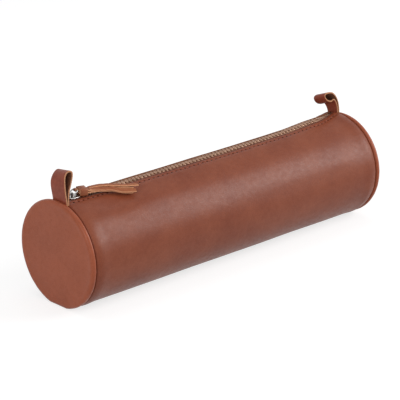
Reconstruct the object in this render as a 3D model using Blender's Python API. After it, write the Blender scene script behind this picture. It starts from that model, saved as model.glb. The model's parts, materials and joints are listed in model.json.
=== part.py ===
"""A round leather pencil case, 220 mm long and 60 mm across, with a zip along its top.

X runs along the case, with the closed end of the zip at -X. Y goes to the back and Z up. The origin is
where the case stands, under its middle. Angles round the case start at the top and grow to the back.
"""

import math

import bmesh
import bpy
from mathutils import Matrix, Vector

MM = 0.001

# Case: a leather tube, flat where it stands, and a turned-over disc on each end
CASE_LENGTH = 220 * MM
CASE_RADIUS = 30 * MM
REST_STRIP_WIDTH = 14 * MM
LEATHER = 1.3 * MM
GAP = 0.3 * MM
RIM_WIDTH = 2.85 * MM
RIM_DEPTH = 6 * MM

# Mouth: the slot over the zip, and the back lip that opens. Here and below, an inset is measured from
# the case's end
SLOT_HALF_ARC = 4.7124 * MM
LIP_END_ANGLE = math.radians(70)
LIP_LEFT_INSET = 9 * MM
LIP_RIGHT_INSET = 17 * MM
STATION_STEP = math.radians(7.5)

# Zip: two tapes under the leather's edges, two rows of teeth, stops. A depth is measured from the
# height of the case's top
TAPE_THICKNESS = 0.5 * MM
TAPE_INSET = 4.75 * MM
TAPE_END_ARC = 13.614 * MM
TAPE_EDGE_Y = 2.6 * MM
TAPE_EDGE_DEPTH = 1.45 * MM
TOOTH_WIDTH = 1.0 * MM
TOOTH_PITCH = 2.6 * MM
TOOTH_REACH = 0.9 * MM
CORD_INNER_Y = 1.3 * MM
CORD_OUTER_Y = 2.3 * MM
CHAIN_CLEARANCE = 0.4 * MM
CHAIN_RIGHT_INSET = 21.2 * MM
CHAIN_DEPTH = 0.5 * MM
TOOTH_HEIGHT = 1.8 * MM
STOP_LENGTH = 1.7 * MM
TOP_STOP_INNER_Y = 1.0 * MM

# Slider: two plates on a post, side walls and a bridge
SLIDER_INSET = 7.8 * MM
SLIDER_LENGTH = 7.8 * MM
SLIDER_HALF_WIDTH = 4.1 * MM
SLIDER_TAIL_HALF_WIDTH = 3.3 * MM
SLIDER_NOSE_LENGTH = 1.2 * MM
SLIDER_WALL = 0.8 * MM
SLIDER_WALL_DEPTH = 1.15 * MM
SLIDER_DEPTH = 3.5 * MM
SLIDER_RISE = 0.35 * MM
PLATE_TOP = 0.6 * MM
PLATE_BOTTOM = 0.8 * MM
POST_LENGTH = 3 * MM
POST_HALF_WIDTH = 1.2 * MM
OVERLAP = 0.1 * MM

# Bridge and pull ring
BRIDGE_INSET = 1.6 * MM
BRIDGE_LENGTH = 2.6 * MM
BRIDGE_HALF_WIDTH = 1.1 * MM
BRIDGE_LEG = 0.6 * MM
BRIDGE_OPENING = 1.5 * MM
BRIDGE_BAR = 0.8 * MM
WIRE_RADIUS = 0.4 * MM
RING_LENGTH = 4 * MM
RING_HALF_WIDTH = 2.1 * MM
RING_CORNER = 0.8 * MM
RING_TILT = math.radians(28)

# Tassel: a strip folded through the ring, its band, and the slit that makes the strands
STRIP = 0.8 * MM
STRIP_CLEARANCE = 0.25 * MM
STRIP_HALF_WIDTH = 2.5 * MM
TAB_HALF_WIDTH = 1.35 * MM
TAB_LENGTH = 0.9 * MM
SLIT = 0.4 * MM
TASSEL_LENGTH = 34.5 * MM
TASSEL_HEADING = math.radians(-20)
HEADING_LENGTH = 2 * MM
BAND = 0.6 * MM
BAND_START = 2 * MM
BAND_END = 5.8 * MM
SLIT_START = 6.7 * MM
DROP_END = 13 * MM
STRAND_STATION = 2.5 * MM

# End loops: straps folded into a teardrop, sewn into the seams
LOOP_STRAP = 0.8 * MM
LOOP_WIDTH = 10 * MM
LOOP_STEM_HALF = 1.05 * MM
LOOP_BASE_RISE = 1.5 * MM
LOOP_BASE_CLEARANCE = 0.76 * MM
LOOP_CAP_LENGTH = 4 * MM
LOOP_EYE_START_SHARE = 0.3
LOOP_EYE_END_LENGTH = 2.6 * MM
LOOP_STEM_SHARE = 0.15
LOOP_STATIONS = 16
LOOP_SPINE_STEPS = 60
LEFT_LOOP_LENGTH = 14.8 * MM
LEFT_LOOP_HEAD_HALF = 3.65 * MM
LEFT_LOOP_LEAN = math.radians(20)
LEFT_LOOP_Y = -1.2 * MM
RIGHT_LOOP_LENGTH = 15.6 * MM
RIGHT_LOOP_HEAD_HALF = 3.6 * MM
RIGHT_LOOP_LEAN = math.radians(100)
RIGHT_LOOP_Y = 6.6 * MM

# Shading
SMOOTH_ANGLE = math.radians(35)
ROUND_SIDES = 8

# Places that follow from the sizes above
HALF_LENGTH = CASE_LENGTH / 2
AXIS_HEIGHT = math.sqrt(CASE_RADIUS**2 - (REST_STRIP_WIDTH / 2) ** 2)
REST_HALF_ANGLE = math.asin(REST_STRIP_WIDTH / 2 / CASE_RADIUS)
BODY_HALF_LENGTH = HALF_LENGTH - RIM_WIDTH - GAP
SEAM_X = HALF_LENGTH - RIM_WIDTH - GAP / 2
SLOT_HALF_ANGLE = SLOT_HALF_ARC / CASE_RADIUS
LIP_LEFT = LIP_LEFT_INSET - HALF_LENGTH
LIP_RIGHT = HALF_LENGTH - LIP_RIGHT_INSET
TAPE_HALF_LENGTH = HALF_LENGTH - TAPE_INSET
TAPE_END_ANGLE = TAPE_END_ARC / CASE_RADIUS
SLIDER_LEFT = SLIDER_INSET - HALF_LENGTH
SLIDER_RIGHT = SLIDER_LEFT + SLIDER_LENGTH
SLIDER_BOTTOM = CASE_RADIUS - SLIDER_DEPTH
SLIDER_TOP = CASE_RADIUS + SLIDER_RISE
CHAIN_LEFT = SLIDER_LEFT + SLIDER_WALL + POST_LENGTH + CHAIN_CLEARANCE
TOOTH_COUNT = round((HALF_LENGTH - CHAIN_RIGHT_INSET - CHAIN_LEFT) / TOOTH_PITCH)
CHAIN_RIGHT = CHAIN_LEFT + TOOTH_PITCH * TOOTH_COUNT
CHAIN_TOP = CASE_RADIUS - CHAIN_DEPTH
CHAIN_BOTTOM = CHAIN_TOP - TOOTH_HEIGHT
BRIDGE_LEFT = SLIDER_LEFT + BRIDGE_INSET
BRIDGE_RIGHT = BRIDGE_LEFT + BRIDGE_LENGTH
RING_PIVOT = Vector(
    (BRIDGE_LEFT + BRIDGE_LENGTH / 2, 0, AXIS_HEIGHT + SLIDER_TOP + GAP + WIRE_RADIUS)
)
RING_DIRECTION = Vector((math.cos(RING_TILT), 0, math.sin(RING_TILT)))
TASSEL_PIVOT = RING_PIVOT + RING_LENGTH * RING_DIRECTION
TASSEL_DIRECTION = Vector((math.cos(TASSEL_HEADING), math.sin(TASSEL_HEADING), 0))
FOLD_RADIUS = WIRE_RADIUS + STRIP_CLEARANCE + STRIP / 2
LAYER_PITCH = STRIP + GAP
BAND_HALF_HEIGHT = LAYER_PITCH / 2 + STRIP / 2 + GAP + BAND
BAND_CENTRE = AXIS_HEIGHT + SLIDER_TOP + GAP + BAND_HALF_HEIGHT

# Colours as linear red, green and blue
BODY_COLOUR = (0.26, 0.095, 0.062)
DISC_COLOUR = (0.28, 0.085, 0.055)
LOOP_COLOUR = (0.27, 0.08, 0.055)
TASSEL_COLOUR = (0.33, 0.13, 0.075)
BAND_COLOUR = (0.26, 0.085, 0.04)
TAPE_COLOUR = (0.42, 0.26, 0.17)
TEETH_COLOUR = (0.55, 0.5, 0.46)
NICKEL_COLOUR = (0.66, 0.65, 0.64)


def clear_scene():
    """Start with an empty scene."""
    for item in list(bpy.data.objects):
        bpy.data.objects.remove(item)


def make_material(name, colour, roughness, metallic=0.0):
    """One plain surface."""
    material = bpy.data.materials.new(name)
    material.use_nodes = True
    shader = material.node_tree.nodes["Principled BSDF"]
    shader.inputs["Base Color"].default_value = (*colour, 1)
    shader.inputs["Roughness"].default_value = roughness
    shader.inputs["Metallic"].default_value = metallic
    return material


def leather(name, colour):
    """Waxed leather."""
    return make_material(name, colour, 0.5)


def woven(name, colour):
    """Woven tape."""
    return make_material(name, colour, 0.85)


def nickel(name, colour):
    """Nickel-plated metal."""
    return make_material(name, colour, 0.25, 1.0)


def add_object(name, surface, material, pivot=(0, 0, 0)):
    """An object from a bmesh in world coordinates, with its origin at the pivot."""
    bmesh.ops.recalc_face_normals(surface, faces=surface.faces)
    surface.transform(Matrix.Translation(-Vector(pivot)))
    mesh = bpy.data.meshes.new(name)
    surface.to_mesh(mesh)
    surface.free()
    mesh.shade_smooth()
    mesh.set_sharp_from_angle(angle=SMOOTH_ANGLE)
    mesh.materials.append(material)
    item = bpy.data.objects.new(name, mesh)
    item.location = pivot
    bpy.context.scene.collection.objects.link(item)
    return item


def loft(rings, closed=False):
    """A solid through rings of points: the last ring meets the first, or both ends are capped."""
    surface = bmesh.new()
    loops = [[surface.verts.new(point) for point in ring] for ring in rings]
    pairs = list(zip(loops, loops[1:]))
    if closed:
        pairs.append((loops[-1], loops[0]))
    else:
        surface.faces.new(loops[0])
        surface.faces.new(loops[-1])
    for near, far in pairs:
        for index in range(len(near)):
            surface.faces.new((near[index - 1], near[index], far[index], far[index - 1]))
    return surface


def sheet(upper, lower, cells=None):
    """A solid between two grids of points, over the cells (row, column) that are kept."""
    if cells is None:
        rows = range(len(upper) - 1)
        columns = range(len(upper[0]) - 1)
        cells = {(row, column) for row in rows for column in columns}
    surface = bmesh.new()
    top = {}
    bottom = {}
    for row, column in sorted(cells):
        corners = ((row, column), (row, column + 1), (row + 1, column + 1), (row + 1, column))
        neighbours = ((row - 1, column), (row, column + 1), (row + 1, column), (row, column - 1))
        for corner in corners:
            if corner not in top:
                top[corner] = surface.verts.new(upper[corner[0]][corner[1]])
                bottom[corner] = surface.verts.new(lower[corner[0]][corner[1]])
        surface.faces.new([top[corner] for corner in corners])
        surface.faces.new([bottom[corner] for corner in reversed(corners)])
        for start, end, neighbour in zip(corners, corners[1:] + corners[:1], neighbours):
            if neighbour not in cells:
                surface.faces.new((top[end], top[start], bottom[start], bottom[end]))
    return surface


def prism(outline, bottom, top):
    """An upright solid over an outline of (x, y), between two heights above the case's axis."""
    return loft([[(x, y, AXIS_HEIGHT + height) for x, y in outline] for height in (bottom, top)])


def box(left, right, front, back, bottom, top):
    """An upright box, its heights above the case's axis."""
    return prism([(left, front), (right, front), (right, back), (left, back)], bottom, top)


def unite(item, others):
    """Make the other objects one body with this one."""
    for other in others:
        union = item.modifiers.new(other.name, "BOOLEAN")
        union.operation = "UNION"
        union.object = other
    evaluated = item.evaluated_get(bpy.context.evaluated_depsgraph_get())
    mesh = bpy.data.meshes.new_from_object(evaluated)
    item.modifiers.clear()
    item.data = mesh
    mesh.shade_smooth()
    mesh.set_sharp_from_angle(angle=SMOOTH_ANGLE)
    for other in others:
        bpy.data.objects.remove(other)
    return item


def smoothstep(start, end, value):
    """0 before the start, 1 past the end and a smooth rise between."""
    share = min(max((value - start) / (end - start), 0), 1)
    return share * share * (3 - 2 * share)


def section_point(x, angle, depth):
    """The point this deep under the case's outside, at this angle from the top."""
    radius = CASE_RADIUS - depth
    if math.cos(angle) < 0:
        radius = min(radius, (AXIS_HEIGHT - depth) / -math.cos(angle))
    return Vector((x, radius * math.sin(angle), AXIS_HEIGHT + radius * math.cos(angle)))


def angle_stations(*stops):
    """Angles through each stop in turn, no more than a station apart."""
    angles = [stops[0]]
    for start, end in zip(stops, stops[1:]):
        steps = math.ceil(abs(end - start) / STATION_STEP)
        angles += [start + (end - start) * step / steps for step in range(1, steps + 1)]
    return angles


def body_panel():
    """Front, bottom and back leather, with a notch where the lip sits."""
    hinge = LIP_END_ANGLE + GAP / CASE_RADIUS - math.tau
    below = angle_stations(
        -SLOT_HALF_ANGLE, REST_HALF_ANGLE - math.pi, -REST_HALF_ANGLE - math.pi, hinge
    )
    beside = angle_stations(hinge, SLOT_HALF_ANGLE - math.tau)[1:]
    xs = (-BODY_HALF_LENGTH, LIP_LEFT - GAP, LIP_RIGHT + GAP, BODY_HALF_LENGTH)
    angles = below + beside
    upper, lower = (
        [[section_point(x, angle, depth) for x in xs] for angle in angles] for depth in (0, LEATHER)
    )
    notch = 1
    cells = {
        (row, column)
        for row in range(len(angles) - 1)
        for column in range(len(xs) - 1)
        if row < len(below) - 1 or column != notch
    }
    name = "body_panel"
    return add_object(name, sheet(upper, lower, cells), leather(name, BODY_COLOUR))


def back_lip_panel():
    """The leather behind the zip, which turns about its lower edge."""
    angles = angle_stations(SLOT_HALF_ANGLE, LIP_END_ANGLE)
    upper, lower = (
        [[section_point(x, angle, depth) for x in (LIP_LEFT, LIP_RIGHT)] for angle in angles]
        for depth in (0, LEATHER)
    )
    name = "back_lip_panel"
    pivot = section_point(0, LIP_END_ANGLE, 0)
    return add_object(name, sheet(upper, lower), leather(name, BODY_COLOUR), pivot)


def end_disc(name, side):
    """A leather disc whose edge turns over onto the side of the case."""
    angles = angle_stations(0, math.pi - REST_HALF_ANGLE, math.pi + REST_HALF_ANGLE, math.tau)
    corner = LEATHER * (1 - math.sqrt(0.5))
    profile = (
        (LEATHER, RIM_DEPTH),
        (RIM_WIDTH, RIM_DEPTH),
        (RIM_WIDTH, 0),
        (LEATHER, 0),
        (corner, corner),
        (0, LEATHER),
    )
    rings = [
        [section_point(side * (HALF_LENGTH - inset), angle, depth) for angle in angles[:-1]]
        for inset, depth in profile
    ]
    return add_object(name, loft(rings), leather(name, DISC_COLOUR))


def zip_tape(name, side):
    """One woven tape, from beside the teeth to well under the leather."""
    radius = CASE_RADIUS - LEATHER - GAP - TAPE_THICKNESS / 2
    start = SLOT_HALF_ANGLE
    steps = 3
    middle = [Vector((0, TAPE_EDGE_Y, CASE_RADIUS - TAPE_EDGE_DEPTH))]
    for step in range(steps + 1):
        angle = start + (TAPE_END_ANGLE - start) * step / steps
        middle.append(Vector((0, radius * math.sin(angle), radius * math.cos(angle))))
    grids = ([], [])
    for index, point in enumerate(middle):
        before = middle[max(index - 1, 0)]
        after = middle[min(index + 1, len(middle) - 1)]
        along = (after - before).normalized()
        normal = Vector((0, -along.z, along.y)) * TAPE_THICKNESS / 2
        for grid, offset in zip(grids, (normal, -normal)):
            spot = point + offset
            row = [(x, side * spot.y, AXIS_HEIGHT + spot.z) for x in (-TAPE_HALF_LENGTH, TAPE_HALF_LENGTH)]
            grid.append(row)
    return add_object(name, sheet(*grids), woven(name, TAPE_COLOUR))


def zip_teeth(name, side):
    """One row of teeth on its cord. The back row stands half a pitch on."""
    shift = TOOTH_PITCH / 2 if side > 0 else 0
    edges = [CHAIN_LEFT] if shift else []
    for tooth in range(TOOTH_COUNT):
        left = CHAIN_LEFT + shift + TOOTH_PITCH * tooth
        edges += [left, left + TOOTH_WIDTH]
    if CHAIN_RIGHT > edges[-1]:
        edges.append(CHAIN_RIGHT)
    across = (-side * TOOTH_REACH, side * CORD_INNER_Y, side * CORD_OUTER_Y)
    upper, lower = (
        [[(x, y, AXIS_HEIGHT + height) for y in across] for x in edges]
        for height in (CHAIN_TOP, CHAIN_BOTTOM)
    )
    first = 1 if shift else 0
    cord = {(row, 1) for row in range(len(edges) - 1)}
    teeth = {(first + 2 * tooth, 0) for tooth in range(TOOTH_COUNT)}
    return add_object(name, sheet(upper, lower, cord | teeth), nickel(name, TEETH_COLOUR))


def top_stop(name, side):
    """A clip on one tape that the slider meets when the zip is closed."""
    right = SLIDER_LEFT - GAP
    front, back = sorted((side * TOP_STOP_INNER_Y, side * CORD_OUTER_Y))
    solid = box(right - STOP_LENGTH, right, front, back, CHAIN_BOTTOM, CHAIN_TOP)
    return add_object(name, solid, nickel(name, NICKEL_COLOUR))


def bottom_stop(name):
    """The clip over both rows that the slider meets when the zip is open."""
    left = CHAIN_RIGHT + GAP
    solid = box(left, left + STOP_LENGTH, -CORD_OUTER_Y, CORD_OUTER_Y, CHAIN_BOTTOM, CHAIN_TOP)
    return add_object(name, solid, nickel(name, NICKEL_COLOUR))


def slider_body():
    """Two plates, the post between the throats, side walls and the bridge."""
    left = SLIDER_LEFT
    right = SLIDER_RIGHT
    nose = left + SLIDER_NOSE_LENGTH
    tail = right - SLIDER_NOSE_LENGTH
    half = SLIDER_HALF_WIDTH
    narrow = SLIDER_TAIL_HALF_WIDTH
    outline = (
        (left, -narrow),
        (nose, -half),
        (tail, -half),
        (right, -narrow),
        (right, narrow),
        (tail, half),
        (nose, half),
        (left, narrow),
    )
    plate_bottom = SLIDER_TOP - PLATE_TOP
    floor_top = SLIDER_BOTTOM + PLATE_BOTTOM
    wall_bottom = CASE_RADIUS - SLIDER_WALL_DEPTH
    wall_top = plate_bottom + OVERLAP
    post_left = left + SLIDER_WALL
    post_middle = post_left + POST_LENGTH / 2
    post_right = post_left + POST_LENGTH
    post = (
        (post_left, 0),
        (post_middle, -POST_HALF_WIDTH),
        (post_right, 0),
        (post_middle, POST_HALF_WIDTH),
    )
    width = (-BRIDGE_HALF_WIDTH, BRIDGE_HALF_WIDTH)
    leg_bottom = SLIDER_TOP - OVERLAP
    bar_bottom = SLIDER_TOP + BRIDGE_OPENING
    bar_top = bar_bottom + BRIDGE_BAR
    solids = (
        prism(post, floor_top - OVERLAP, wall_top),
        prism(outline, SLIDER_BOTTOM, floor_top),
        box(nose, tail, -half, SLIDER_WALL - half, wall_bottom, wall_top),
        box(nose, tail, half - SLIDER_WALL, half, wall_bottom, wall_top),
        box(BRIDGE_LEFT, BRIDGE_LEFT + BRIDGE_LEG, *width, leg_bottom, bar_top),
        box(BRIDGE_RIGHT - BRIDGE_LEG, BRIDGE_RIGHT, *width, leg_bottom, bar_top),
        box(BRIDGE_LEFT + OVERLAP, BRIDGE_RIGHT - OVERLAP, *width, bar_bottom, bar_top),
    )
    name = "slider_body"
    material = nickel(name, NICKEL_COLOUR)
    body = add_object(name, prism(outline, plate_bottom, SLIDER_TOP), material)
    return unite(body, [add_object("slider_piece", solid, material) for solid in solids])


def ring_path():
    """Centre and outward normal at points round the pull ring, as (along, across) pairs."""
    corners = (
        (RING_CORNER, RING_CORNER - RING_HALF_WIDTH, math.pi),
        (RING_LENGTH - RING_CORNER, RING_CORNER - RING_HALF_WIDTH, 1.5 * math.pi),
        (RING_LENGTH - RING_CORNER, RING_HALF_WIDTH - RING_CORNER, 0.0),
        (RING_CORNER, RING_HALF_WIDTH - RING_CORNER, 0.5 * math.pi),
    )
    steps = 3
    path = []
    for along, across, start in corners:
        for step in range(steps + 1):
            angle = start + math.pi / 2 * step / steps
            normal = (math.cos(angle), math.sin(angle))
            centre = (along + RING_CORNER * normal[0], across + RING_CORNER * normal[1])
            path.append((centre, normal))
    return path


def pull_ring():
    """A wire ring through the bridge, turning about its side under the bridge."""
    across = Vector((0, 1, 0))
    up = RING_DIRECTION.cross(across)
    rings = []
    for centre, normal in ring_path():
        middle = RING_PIVOT + centre[0] * RING_DIRECTION + centre[1] * across
        outward = normal[0] * RING_DIRECTION + normal[1] * across
        rings.append(
            [
                middle
                + WIRE_RADIUS * math.cos(math.tau * side / ROUND_SIDES) * outward
                + WIRE_RADIUS * math.sin(math.tau * side / ROUND_SIDES) * up
                for side in range(ROUND_SIDES)
            ]
        )
    name = "pull_ring"
    return add_object(name, loft(rings, closed=True), nickel(name, NICKEL_COLOUR), RING_PIVOT)


def tassel_across(along):
    """The strip's sideways direction, square to the ring at the fold and to the strip after it."""
    heading = TASSEL_HEADING * smoothstep(0, HEADING_LENGTH, along)
    return Vector((-math.sin(heading), math.cos(heading), 0))


def strip_point(along, across, layer):
    """The middle of one layer of the strip: layer -1 lies on the case and layer 1 on it."""
    spot = TASSEL_PIVOT + along * TASSEL_DIRECTION + across * tassel_across(along)
    fold = TASSEL_PIVOT.z + layer * FOLD_RADIUS
    bound = BAND_CENTRE + layer * LAYER_PITCH / 2
    radius = CASE_RADIUS + GAP + STRIP / 2 + (layer + 1) / 2 * LAYER_PITCH
    lying = AXIS_HEIGHT + math.sqrt(radius**2 - spot.y**2)
    height = fold + (bound - fold) * smoothstep(0, BAND_START, along)
    spot.z = height + (lying - height) * smoothstep(SLIT_START, DROP_END, along)
    return spot


def strip_half_width(along):
    """Narrow where it goes through the ring, full width inside the band."""
    spread = smoothstep(TAB_LENGTH, BAND_START, along)
    return TAB_HALF_WIDTH + (STRIP_HALF_WIDTH - TAB_HALF_WIDTH) * spread


def strip_stations():
    """Distances along one layer, from the fold to the tips."""
    strands = math.ceil((TASSEL_LENGTH - DROP_END) / STRAND_STATION)
    drop_steps = 4
    stations = [0, TAB_LENGTH, (TAB_LENGTH + BAND_START) / 2, BAND_START, BAND_END]
    stations += [
        SLIT_START + (DROP_END - SLIT_START) * step / drop_steps for step in range(drop_steps)
    ]
    stations += [
        DROP_END + (TASSEL_LENGTH - DROP_END) * step / strands for step in range(strands + 1)
    ]
    return stations


def tassel_strip():
    """One strip folded through the ring, slit lengthwise into strands past the band."""
    rows = [(along, -1, -math.pi / 2) for along in reversed(strip_stations())]
    fold_steps = 4
    rows += [(0, 0, -math.pi / 2 - math.pi * turn / fold_steps) for turn in range(1, fold_steps)]
    rows += [(along, 1, math.pi / 2) for along in strip_stations()]
    outside, inside = [], []
    for along, layer, turn in rows:
        half = strip_half_width(along)
        normal = Vector((math.cos(turn), 0, math.sin(turn)))
        middles = []
        for across in (-half, -SLIT / 2, SLIT / 2, half):
            if layer:
                middles.append(strip_point(along, across, layer))
            else:
                middles.append(TASSEL_PIVOT + FOLD_RADIUS * normal + across * tassel_across(0))
        outside.append([middle + STRIP / 2 * normal for middle in middles])
        inside.append([middle - STRIP / 2 * normal for middle in middles])
    cells = {
        (row, column)
        for row in range(len(rows) - 1)
        for column in range(3)
        if column != 1 or max(rows[row][0], rows[row + 1][0]) <= SLIT_START
    }
    name = "tassel_strip"
    material = leather(name, TASSEL_COLOUR)
    return add_object(name, sheet(outside, inside, cells), material, TASSEL_PIVOT)


def tassel_band():
    """The leather band wound round both layers of the strip."""
    rings = []
    for wall, along in ((BAND, BAND_START), (BAND, BAND_END), (0, BAND_END), (0, BAND_START)):
        half_width = STRIP_HALF_WIDTH + GAP + wall
        half_height = BAND_HALF_HEIGHT - BAND + wall
        corner = GAP + wall
        ring = []
        for turn, (across_sign, up_sign) in enumerate(((1, -1), (1, 1), (-1, 1), (-1, -1))):
            for step in range(3):
                angle = (turn - 1) * math.pi / 2 + step * math.pi / 4
                across = across_sign * (half_width - corner) + corner * math.cos(angle)
                rise = up_sign * (half_height - corner) + corner * math.sin(angle)
                middle = TASSEL_PIVOT + along * TASSEL_DIRECTION
                point = middle + across * tassel_across(HEADING_LENGTH)
                point.z = BAND_CENTRE + rise
                ring.append(point)
        rings.append(ring)
    name = "tassel_band"
    return add_object(name, loft(rings, closed=True), leather(name, BAND_COLOUR), TASSEL_PIVOT)


def loop_spine(length, lean):
    """A function that gives the point and sideways direction at a distance up a leaning strap."""
    step = length / LOOP_SPINE_STEPS

    def at(distance):
        x = 0
        z = 0
        travelled = 0
        while travelled < distance:
            part = min(step, distance - travelled)
            angle = lean * (travelled + part / 2) / length
            x += part * math.sin(angle)
            z += part * math.cos(angle)
            travelled += part
        angle = lean * max(distance, 0) / length
        return Vector((x, z + min(distance, 0))), Vector((math.cos(angle), -math.sin(angle)))

    return at


def loop_outline(spine, start, end, start_round, end_round, half_width):
    """Points round a teardrop along a spine, from its lower tip up one side and down the other."""
    points = []
    for station in range(LOOP_STATIONS):
        turn = math.tau * station / LOOP_STATIONS
        distance = start + (end - start) * (1 - math.cos(turn)) / 2
        width = half_width(distance)
        for room, rounding in ((distance - start, start_round), (end - distance, end_round)):
            if room < rounding:
                width *= math.sqrt(max(1 - (1 - room / rounding) ** 2, 0))
        centre, sideways = spine(distance)
        points.append(centre + math.copysign(width, math.sin(turn)) * sideways)
    return points


def end_loop(name, side, middle_y, length, head_half, lean):
    """A strap folded into a teardrop above the seam, turning about its base."""
    spine = loop_spine(length, lean)
    far_y = abs(middle_y) + LOOP_WIDTH / 2
    drop = CASE_RADIUS - math.sqrt(CASE_RADIUS**2 - far_y**2)
    far_tail = max(drop + LOOP_BASE_RISE - LOOP_BASE_CLEARANCE, LOOP_STEM_HALF)
    head = length - LOOP_CAP_LENGTH

    def half_width(distance):
        swell = smoothstep(LOOP_STEM_SHARE * length, head, distance)
        return LOOP_STEM_HALF + (head_half - LOOP_STEM_HALF) * swell

    def eye_half_width(distance):
        return half_width(distance) - LOOP_STRAP

    eye_end = length - LOOP_STRAP
    eye_start = LOOP_EYE_START_SHARE * length
    eye = loop_outline(spine, eye_start, eye_end, LOOP_STRAP, LOOP_EYE_END_LENGTH, eye_half_width)
    outer = loop_outline(
        spine, -LOOP_STEM_HALF, length, LOOP_STEM_HALF, LOOP_CAP_LENGTH, half_width
    )
    faces = []
    for across, tail in ((-LOOP_WIDTH / 2, LOOP_STEM_HALF), (LOOP_WIDTH / 2, far_tail)):
        stretch = tail / LOOP_STEM_HALF
        lowered = [Vector((at.x, at.y * stretch if at.y < 0 else at.y)) for at in outer]
        faces.append((across, lowered))
    pivot = Vector((side * SEAM_X, middle_y, AXIS_HEIGHT + CASE_RADIUS + LOOP_BASE_RISE))
    rings = []
    for index, hole in enumerate(eye):
        front, back = ((across, outer[index]) for across, outer in faces)
        corners = ((front[0], front[1]), (back[0], back[1]), (back[0], hole), (front[0], hole))
        rings.append([pivot + Vector((-side * at.x, across, at.y)) for across, at in corners])
    return add_object(name, loft(rings, closed=True), leather(name, LOOP_COLOUR), pivot)


def build():
    """All the pieces."""
    clear_scene()
    body_panel()
    back_lip_panel()
    end_disc("left_end_disc", -1)
    end_disc("right_end_disc", 1)
    for place, side in (("front", -1), ("back", 1)):
        zip_tape(f"zip_tape_{place}", side)
        zip_teeth(f"zip_teeth_{place}", side)
        top_stop(f"top_stop_{place}", side)
    bottom_stop("bottom_stop")
    slider_body()
    ring = pull_ring()
    for piece in (tassel_strip(), tassel_band()):
        piece.parent = ring
        piece.matrix_parent_inverse = Matrix.Translation(-ring.location)
    end_loop(
        "left_end_loop",
        -1,
        LEFT_LOOP_Y,
        LEFT_LOOP_LENGTH,
        LEFT_LOOP_HEAD_HALF,
        LEFT_LOOP_LEAN,
    )
    end_loop(
        "right_end_loop",
        1,
        RIGHT_LOOP_Y,
        RIGHT_LOOP_LENGTH,
        RIGHT_LOOP_HEAD_HALF,
        RIGHT_LOOP_LEAN,
    )


build()
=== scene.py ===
"""Looks of a round leather pencil case with a zip along its top.

All lengths are in metres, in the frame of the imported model: X along the case, Y to the back and Z up.
Angles round the case start at its top and grow to the back. Tables of sizes are in millimetres.
"""

import json
import math

import bmesh
import bpy
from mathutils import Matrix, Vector, noise


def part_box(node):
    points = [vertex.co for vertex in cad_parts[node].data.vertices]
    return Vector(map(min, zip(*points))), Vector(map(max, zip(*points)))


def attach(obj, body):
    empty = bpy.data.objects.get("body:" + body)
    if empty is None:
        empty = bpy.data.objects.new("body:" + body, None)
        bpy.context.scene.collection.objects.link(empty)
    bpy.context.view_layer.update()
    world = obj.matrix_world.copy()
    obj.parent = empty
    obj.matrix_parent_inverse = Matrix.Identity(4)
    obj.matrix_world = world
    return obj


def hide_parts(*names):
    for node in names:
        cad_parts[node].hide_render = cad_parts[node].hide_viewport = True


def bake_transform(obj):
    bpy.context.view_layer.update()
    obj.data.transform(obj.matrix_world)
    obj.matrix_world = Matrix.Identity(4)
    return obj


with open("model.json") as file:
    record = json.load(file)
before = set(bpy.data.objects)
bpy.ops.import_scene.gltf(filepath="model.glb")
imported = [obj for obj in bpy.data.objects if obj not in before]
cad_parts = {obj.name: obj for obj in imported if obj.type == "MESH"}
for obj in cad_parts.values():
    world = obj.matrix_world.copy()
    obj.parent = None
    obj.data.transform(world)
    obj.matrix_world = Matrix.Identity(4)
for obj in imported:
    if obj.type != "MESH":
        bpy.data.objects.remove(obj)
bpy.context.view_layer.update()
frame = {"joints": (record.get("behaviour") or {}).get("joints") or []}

MM = 0.001

# Photograph: where the camera stood, and where the middle of the case falls in the picture
PICTURE = 400
CAMERA_AZIMUTH = math.radians(-43.3)
CAMERA_ELEVATION = math.radians(20.4)
CAMERA_DISTANCE = 1200 * MM
SENSOR_WIDTH = 36
FOCAL_PIXELS = 2144.4
CASE_MIDDLE_PIXEL = (208.1, 204.9)

# Case, from the frame
DISC_LOW, DISC_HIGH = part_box("left_end_disc")
HALF_LENGTH = -DISC_LOW.x
RIM_WIDTH = DISC_HIGH.x - DISC_LOW.x
RADIUS = (DISC_HIGH.y - DISC_LOW.y) / 2
AXIS_HEIGHT = DISC_HIGH.z - RADIUS
LIP_LOW, LIP_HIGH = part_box("back_lip_panel")
MOUTH_MIDDLE = (LIP_LOW.x + LIP_HIGH.x) / 2
SLIDER_LOW, SLIDER_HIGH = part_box("slider_body")
RING_LOW, RING_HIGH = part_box("pull_ring")
CHAIN_LOW, CHAIN_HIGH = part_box("zip_teeth_front")
BAND_LOW, BAND_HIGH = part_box("tassel_band")
SEAM_X = HALF_LENGTH - RIM_WIDTH
PIVOTS = {joint["name"]: Vector(joint["pos_m"]) for joint in frame["joints"] if "pos_m" in joint}

# Leather shell: its thickness, pared towards the zip, and the crease and droop of its edge
LEATHER = 1.3 * MM
EDGE_LEATHER = 0.6 * MM
EDGE_PARING = 4 * MM
EDGE_DROOP = 0.25 * MM
EDGE_DROOP_WIDTH = 0.6 * MM
EDGE_ROWS = (0, 0.18, 0.48, 0.75, 1.02, 1.4, 1.9, 2.4, 2.75, 3.1, 3.45, 3.8, 4.3)
CREASE_INSET = 0.75 * MM
CREASE_DEPTH = 0.3 * MM
CREASE_WIDTH = 0.3 * MM
EDGE_ANGLE = math.radians(6.3)
HINGE_ANGLE = math.radians(70)

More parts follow.
